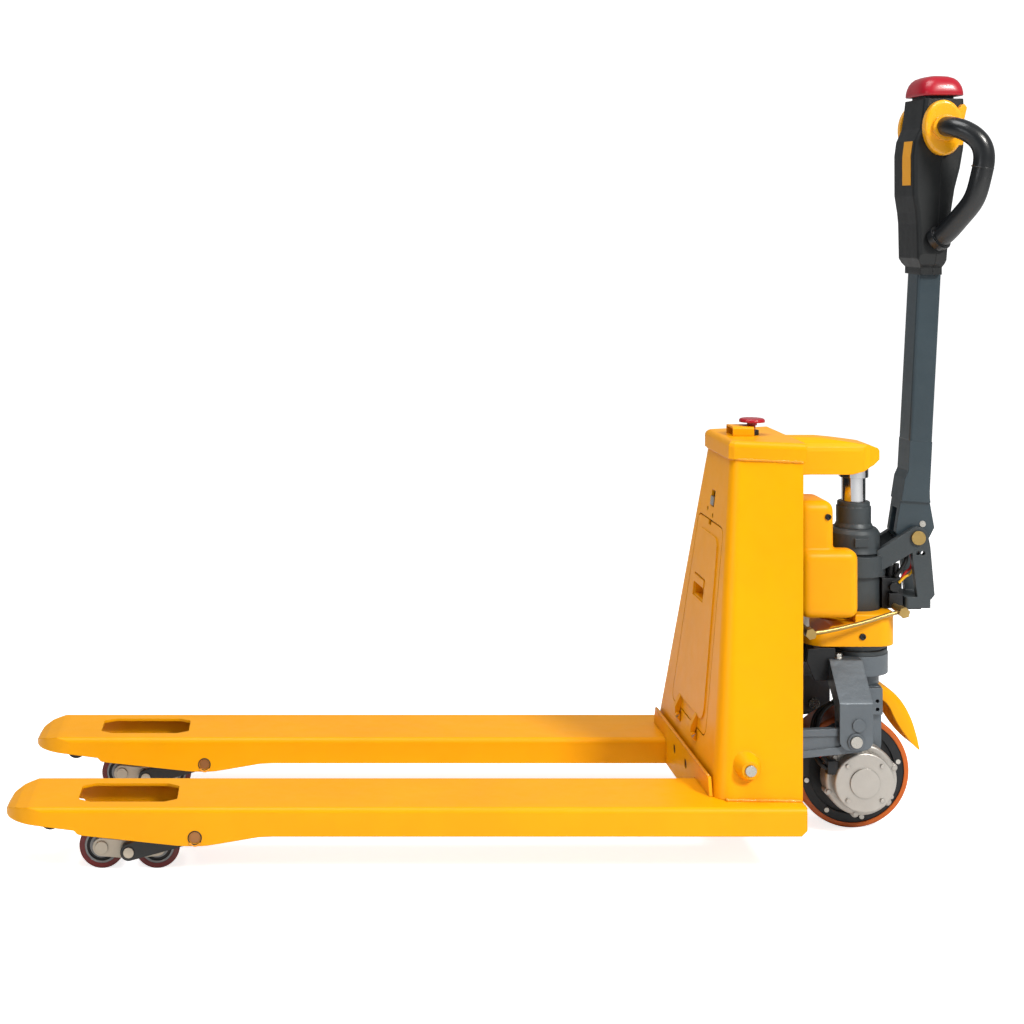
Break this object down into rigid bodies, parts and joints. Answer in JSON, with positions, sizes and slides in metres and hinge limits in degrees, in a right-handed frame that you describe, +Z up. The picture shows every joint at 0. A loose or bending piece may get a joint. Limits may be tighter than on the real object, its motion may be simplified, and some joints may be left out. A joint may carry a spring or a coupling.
{
  "type": "electric pallet jack",
  "caption": "Compact electric pallet jack: two channel forks on tandem rollers, A-frame battery body, steered drive wheel and pump unit, and a tilting tiller with loop handles.",
  "frame": {"origin": "centre of the bounding box on the floor plane", "axes": "+X from the fork tips to the tiller, +Y to the right-hand fork, +Z up"},
  "size_m": [1.6388, 0.54, 1.2972],
  "materials": {
    "yellow_paint": "glossy powder coat",
    "grey_paint": "satin hammered paint",
    "dark_casting": "satin painted casting",
    "black_plastic": "fine textured moulding",
    "black_grip": "satin over-moulded tube",
    "red_plastic": "glossy moulding",
    "yellow_plastic": "glossy moulding",
    "zinc_steel": "bright zinc plate",
    "gold_zinc": "yellow zinc plate",
    "chrome_rod": "ground hard chrome",
    "cast_aluminium": "as cast, machined faces",
    "load_tyre": "dark red polyurethane",
    "drive_tyre": "amber polyurethane",
    "black_steel": "satin black"
  },
  "bodies": {
    "steering_base": {"yoke_bracket": "grey_paint", "yoke_pins": "zinc_steel", "yoke_bolts": "zinc_steel", "steering_bearing": "dark_casting"},
    "chassis": {"fork_left": "yellow_paint", "fork_right": "yellow_paint", "battery_shell": "yellow_paint", "top_cap": "yellow_paint", "lift_arm": "yellow_paint", "heel_crossmember": "yellow_paint", "rear_cover": "black_plastic", "battery_pack": "black_plastic", "motor_controller": "black_plastic", "battery_tray": "black_plastic", "crank_shaft": "zinc_steel", "disconnect_bracket": "yellow_paint", "piston_rod": "chrome_rod", "load_arm_pivot_pins": "zinc_steel", "entry_roller_axles": "zinc_steel"},
    "disconnect": {"disconnect_button": "red_plastic"},
    "door": {"battery_door": "yellow_paint"},
    "latch": {"door_latch": "zinc_steel"},
    "crank": {"bell_crank": "grey_paint"},
    "rod_left": {"push_rod_left": "zinc_steel"},
    "rod_right": {"push_rod_right": "zinc_steel"},
    "arm_left": {"load_arm_left": "dark_casting"},
    "arm_right": {"load_arm_right": "dark_casting"},
    "bogie_frame_left": {"bogie_left": "zinc_steel"},
    "bogie_frame_right": {"bogie_right": "zinc_steel"},
    "roller_front_left": {"load_roller_front_left": "load_tyre"},
    "roller_rear_left": {"load_roller_rear_left": "load_tyre"},
    "roller_front_right": {"load_roller_front_right": "load_tyre"},
    "roller_rear_right": {"load_roller_rear_right": "load_tyre"},
    "nose_roller_left": {"entry_roller_left": "black_plastic"},
    "nose_roller_right": {"entry_roller_right": "black_plastic"},
    "drive_unit": {"pump_body": "dark_casting", "gland_nut": "dark_casting", "tiller_bracket": "dark_casting", "tiller_pivot_pin": "gold_zinc", "valve_block": "black_steel", "lift_motor": "black_steel", "lift_motor_cover": "yellow_paint", "base_cover": "yellow_paint", "drive_bracket": "grey_paint", "gear_housing": "cast_aluminium", "drive_motor": "cast_aluminium", "wheel_guard": "yellow_paint", "hydraulic_pipe": "gold_zinc", "banjo_bolts": "gold_zinc"},
    "drive_wheel": {"drive_wheel_hub": "black_steel", "hub_screws": "zinc_steel", "drive_wheel_tyre": "drive_tyre"},
    "tiller": {"tiller_tube": "dark_casting", "head_shell_front": "black_plastic", "head_shell_rear": "black_plastic", "handle_loops": "black_grip"},
    "throttle": {"throttle_knobs": "yellow_plastic"},
    "belly": {"belly_button": "red_plastic"},
    "horn": {"horn_button": "red_plastic"},
    "rocker": {"lift_rocker": "black_plastic"}
  },
  "joints": [
    {"name": "fork_lift", "type": "slide", "parent": "steering_base", "child": "chassis", "axis": [0, 0, 1], "range_m": [-0.025, 0.075], "stiffness_N_per_m": 400000},
    {"name": "crank_swing", "type": "hinge", "parent": "chassis", "child": "crank", "pos_m": [0.38312, 0, 0.163], "axis": [0, 1, 0], "range_deg": [-6.86, 20.53]},
    {"name": "rod_push_left", "type": "slide", "parent": "chassis", "child": "rod_left", "axis": [-1, 0, 0], "range_m": [-0.00836, 0.02506]},
    {"name": "arm_swing_left", "type": "hinge", "parent": "chassis", "child": "arm_left", "pos_m": [-0.50988, -0.19, 0.065], "axis": [0, -1, 0], "range_deg": [-16.49, 49.44]},
    {"name": "bogie_level_left", "type": "hinge", "parent": "arm_left", "child": "bogie_frame_left", "pos_m": [-0.61738, -0.19, 0.033], "axis": [0, 1, 0], "range_deg": [-16.49, 49.44]},
    {"name": "roller_spin_front_left", "type": "hinge", "parent": "bogie_frame_left", "child": "roller_front_left", "pos_m": [-0.66188, -0.19, 0.037], "axis": [0, 1, 0], "continuous": true},
    {"name": "roller_spin_rear_left", "type": "hinge", "parent": "bogie_frame_left", "child": "roller_rear_left", "pos_m": [-0.57288, -0.19, 0.037], "axis": [0, 1, 0], "continuous": true},
    {"name": "nose_roller_spin_left", "type": "hinge", "parent": "chassis", "child": "nose_roller_left", "pos_m": [-0.74688, -0.19, 0.077], "axis": [0, 1, 0], "continuous": true},
    {"name": "rod_push_right", "type": "slide", "parent": "chassis", "child": "rod_right", "axis": [-1, 0, 0], "range_m": [-0.00836, 0.02506]},
    {"name": "arm_swing_right", "type": "hinge", "parent": "chassis", "child": "arm_right", "pos_m": [-0.50988, 0.19, 0.065], "axis": [0, -1, 0], "range_deg": [-16.49, 49.44]},
    {"name": "bogie_level_right", "type": "hinge", "parent": "arm_right", "child": "bogie_frame_right", "pos_m": [-0.61738, 0.19, 0.033], "axis": [0, 1, 0], "range_deg": [-16.49, 49.44]},
    {"name": "roller_spin_front_right", "type": "hinge", "parent": "bogie_frame_right", "child": "roller_front_right", "pos_m": [-0.66188, 0.19, 0.037], "axis": [0, 1, 0], "continuous": true},
    {"name": "roller_spin_rear_right", "type": "hinge", "parent": "bogie_frame_right", "child": "roller_rear_right", "pos_m": [-0.57288, 0.19, 0.037], "axis": [0, 1, 0], "continuous": true},
    {"name": "nose_roller_spin_right", "type": "hinge", "parent": "chassis", "child": "nose_roller_right", "pos_m": [-0.74688, 0.19, 0.077], "axis": [0, 1, 0], "continuous": true},
    {"name": "disconnect_press", "type": "slide", "parent": "chassis", "child": "disconnect", "axis": [0, 0, -1], "range_m": [0, 0.005], "stiffness_N_per_m": 800},
    {"name": "door_open", "type": "hinge", "parent": "chassis", "child": "door", "pos_m": [0.33112, 0, 0.171], "axis": [0, -1, 0], "range_deg": [0, 70]},
    {"name": "latch_slide", "type": "slide", "parent": "chassis", "child": "latch", "axis": [0, 0, 1], "range_m": [0, 0.008], "stiffness_N_per_m": 400},
    {"name": "steer", "type": "hinge", "parent": "steering_base", "child": "drive_unit", "pos_m": [0.62612, 0, 0.3], "axis": [0, 0, 1], "range_deg": [-90, 90]},
    {"name": "drive_wheel_spin", "type": "hinge", "parent": "drive_unit", "child": "drive_wheel", "pos_m": [0.61312, 0, 0.098], "axis": [0, 1, 0], "continuous": true},
    {"name": "tiller_tilt", "type": "hinge", "parent": "drive_unit", "child": "tiller", "pos_m": [0.72562, 0, 0.5007], "axis": [0, 1, 0], "range_deg": [-4, 78], "stiffness_Nm_per_rad": 60},
    {"name": "throttle_twist", "type": "hinge", "parent": "tiller", "child": "throttle", "pos_m": [0.75912, 0, 1.206], "axis": [0, 1, 0], "range_deg": [-20, 20], "stiffness_Nm_per_rad": 1},
    {"name": "belly_press", "type": "slide", "parent": "tiller", "child": "belly", "axis": [-0.0527, 0, -0.9986], "range_m": [0, 0.005], "stiffness_N_per_m": 1500},
    {"name": "horn_press", "type": "slide", "parent": "tiller", "child": "horn", "axis": [-1, 0, 0], "range_m": [0, 0.003], "stiffness_N_per_m": 800},
    {"name": "rocker_tilt", "type": "hinge", "parent": "tiller", "child": "rocker", "pos_m": [0.79712, 0, 1.195], "axis": [0, 1, 0], "range_deg": [-6, 6], "stiffness_Nm_per_rad": 0.5}
  ],
  "couplings": [
    {"joint": "crank_swing", "follows": "fork_lift", "rad_per_m": 4.772},
    {"joint": "rod_push_left", "follows": "fork_lift", "ratio": 0.334},
    {"joint": "arm_swing_left", "follows": "fork_lift", "rad_per_m": 11.5},
    {"joint": "bogie_level_left", "follows": "fork_lift", "rad_per_m": 11.5},
    {"joint": "rod_push_right", "follows": "fork_lift", "ratio": 0.334},
    {"joint": "arm_swing_right", "follows": "fork_lift", "rad_per_m": 11.5},
    {"joint": "bogie_level_right", "follows": "fork_lift", "rad_per_m": 11.5}
  ]
}
